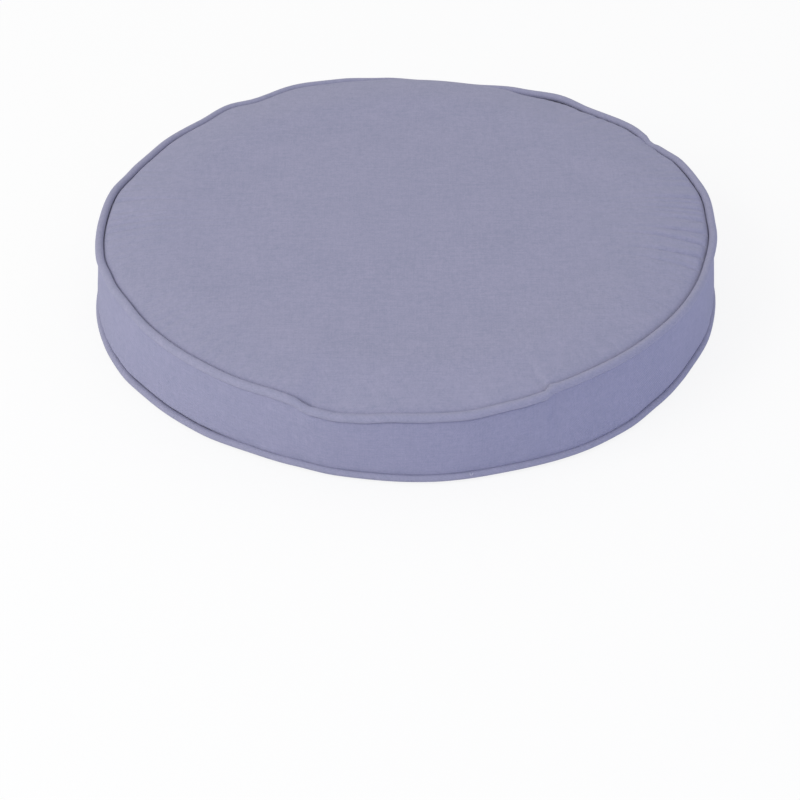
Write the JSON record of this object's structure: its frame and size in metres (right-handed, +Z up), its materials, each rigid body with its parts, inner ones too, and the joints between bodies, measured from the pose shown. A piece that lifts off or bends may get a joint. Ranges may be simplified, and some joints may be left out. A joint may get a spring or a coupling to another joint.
{
  "type": "round seat cushion",
  "caption": "Round, flat seat cushion with a foam core in a boxed cloth cover, piped along its top and bottom edges and closed by a zip at the back of the side band.",
  "frame": {"origin": "middle of the flat underside of the bottom panel", "axes": "+Z up; the front faces -Y; the zip lies along the back of the band, at +Y"},
  "size_m": [0.3999, 0.4, 0.0581],
  "materials": {
    "cover_cloth": "matt plain weave, lavender grey",
    "foam": "open-cell foam, cream",
    "piping_cord": "matt twisted cord, off-white",
    "zip_tape": "matt woven tape",
    "zip_teeth": "moulded plastic, matt",
    "zip_metal": "satin"
  },
  "bodies": {
    "cushion": {"foam_core": "foam", "top_panel": "cover_cloth", "bottom_panel": "cover_cloth", "side_band": "cover_cloth", "zip_strip_upper": "cover_cloth", "zip_strip_lower": "cover_cloth", "top_piping_sleeve": "cover_cloth", "bottom_piping_sleeve": "cover_cloth", "top_piping_cord": "piping_cord", "bottom_piping_cord": "piping_cord", "zip_tape_upper": "zip_tape", "zip_tape_lower": "zip_tape", "zip_teeth_upper": "zip_teeth", "zip_teeth_lower": "zip_teeth", "zip_top_stops": "zip_teeth", "zip_bottom_stop": "zip_teeth"},
    "zip_slider": {"zip_slider_body": "zip_metal", "zip_slider_bridge": "zip_metal"},
    "zip_pull": {"zip_pull_tab": "zip_metal"}
  },
  "joints": [
    {"name": "zip_slide", "type": "hinge", "parent": "cushion", "child": "zip_slider", "pos_m": [0, 0, 0.026], "axis": [0, 0, 1], "range_deg": [0, 99.8], "deforming": ["zip_teeth_upper", "zip_teeth_lower"]},
    {"name": "pull_turn", "type": "hinge", "parent": "zip_slider", "child": "zip_pull", "pos_m": [0.15487, 0.12758, 0.026], "axis": [0, 0, -1], "range_deg": [0, 180]}
  ]
}
